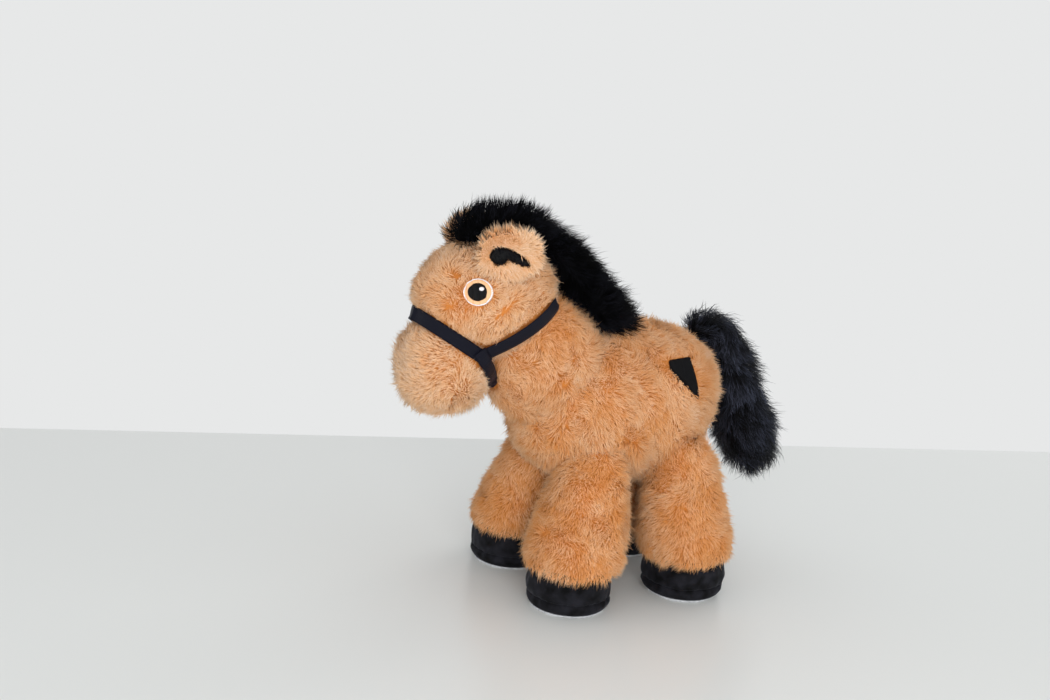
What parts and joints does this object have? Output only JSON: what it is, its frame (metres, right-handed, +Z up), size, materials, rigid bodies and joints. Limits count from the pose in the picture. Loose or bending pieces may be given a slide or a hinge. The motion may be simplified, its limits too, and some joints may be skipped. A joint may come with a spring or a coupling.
{
  "type": "plush horse",
  "caption": "Stuffed standing toy horse in short tan plush with a long black mane and tail, velvet hooves, stitched eyes and a ribbon halter.",
  "frame": {"origin": "middle of the bounding box, at the plane of the soles", "axes": "+Z up; the horse faces -X and its left side is at -Y"},
  "size_m": [0.3768, 0.1844, 0.3234],
  "materials": {
    "tan_plush_fur": "short plush pile, matt",
    "black_long_pile": "long plush pile, slight lustre",
    "black_velvet": "velvet",
    "grey_sole_felt": "felt, matt",
    "black_satin_ribbon": "fine ribbed ribbon, satin",
    "black_embroidery_thread": "stitched thread, satin",
    "white_embroidery_thread": "stitched thread, satin",
    "amber_embroidery_thread": "stitched thread, satin",
    "black_woven_label": "woven tape, matt"
  },
  "bodies": {
    "body": {"torso": "tan_plush_fur", "neck": "tan_plush_fur", "mane_crest": "black_long_pile", "rump_label": "black_woven_label"},
    "head": {"head": "tan_plush_fur", "muzzle": "tan_plush_fur", "mane_forelock": "black_long_pile", "halter_noseband": "black_satin_ribbon", "halter_chin_strap": "black_satin_ribbon", "halter_cheek_strap_left": "black_satin_ribbon", "halter_cheek_strap_right": "black_satin_ribbon", "halter_fold_left": "black_satin_ribbon", "halter_fold_right": "black_satin_ribbon", "eye_white_ring_left": "white_embroidery_thread", "eye_iris_ring_left": "amber_embroidery_thread", "eye_pupil_left": "black_embroidery_thread", "eye_glint_left": "white_embroidery_thread", "eye_white_ring_right": "white_embroidery_thread", "eye_iris_ring_right": "amber_embroidery_thread", "eye_pupil_right": "black_embroidery_thread", "eye_glint_right": "white_embroidery_thread"},
    "ear_left": {"ear_left": "tan_plush_fur", "ear_mark_left": "black_embroidery_thread"},
    "ear_right": {"ear_right": "tan_plush_fur", "ear_mark_right": "black_embroidery_thread"},
    "tail": {"tail": "black_long_pile"},
    "leg_front_left": {"leg_front_left": "tan_plush_fur", "hoof_front_left": "black_velvet", "sole_front_left": "grey_sole_felt"},
    "leg_front_right": {"leg_front_right": "tan_plush_fur", "hoof_front_right": "black_velvet", "sole_front_right": "grey_sole_felt"},
    "leg_rear_left": {"leg_rear_left": "tan_plush_fur", "hoof_rear_left": "black_velvet", "sole_rear_left": "grey_sole_felt"},
    "leg_rear_right": {"leg_rear_right": "tan_plush_fur", "hoof_rear_right": "black_velvet", "sole_rear_right": "grey_sole_felt"}
  },
  "joints": [
    {"name": "head_nod", "type": "hinge", "parent": "body", "child": "head", "pos_m": [-0.08461, 0, 0.23542], "axis": [0, 1, 0], "range_deg": [-8, 6], "stiffness_Nm_per_rad": 2},
    {"name": "ear_left_fold", "type": "hinge", "parent": "head", "child": "ear_left", "pos_m": [-0.11664, -0.04, 0.27842], "axis": [0.9659, -0.2588, 0], "range_deg": [-5, 20], "stiffness_Nm_per_rad": 0.05},
    {"name": "ear_right_fold", "type": "hinge", "parent": "head", "child": "ear_right", "pos_m": [-0.11664, 0.04, 0.27842], "axis": [-0.9659, -0.2588, 0], "range_deg": [-5, 20], "stiffness_Nm_per_rad": 0.05},
    {"name": "tail_swing", "type": "hinge", "parent": "body", "child": "tail", "pos_m": [0.07969, 0, 0.2156], "axis": [1, 0, 0], "range_deg": [-20, 20], "stiffness_Nm_per_rad": 0.2},
    {"name": "hip_front_left", "type": "hinge", "parent": "body", "child": "leg_front_left", "pos_m": [-0.01949, -0.0365, 0.113], "axis": [0, 1, 0], "range_deg": [-6, 12], "stiffness_Nm_per_rad": 2},
    {"name": "hip_front_right", "type": "hinge", "parent": "body", "child": "leg_front_right", "pos_m": [-0.01949, 0.0365, 0.113], "axis": [0, 1, 0], "range_deg": [-6, 12], "stiffness_Nm_per_rad": 2},
    {"name": "hip_rear_left", "type": "hinge", "parent": "body", "child": "leg_rear_left", "pos_m": [0.06051, -0.0365, 0.113], "axis": [0, 1, 0], "range_deg": [-12, 6], "stiffness_Nm_per_rad": 2},
    {"name": "hip_rear_right", "type": "hinge", "parent": "body", "child": "leg_rear_right", "pos_m": [0.06051, 0.0365, 0.113], "axis": [0, 1, 0], "range_deg": [-12, 6], "stiffness_Nm_per_rad": 2}
  ]
}
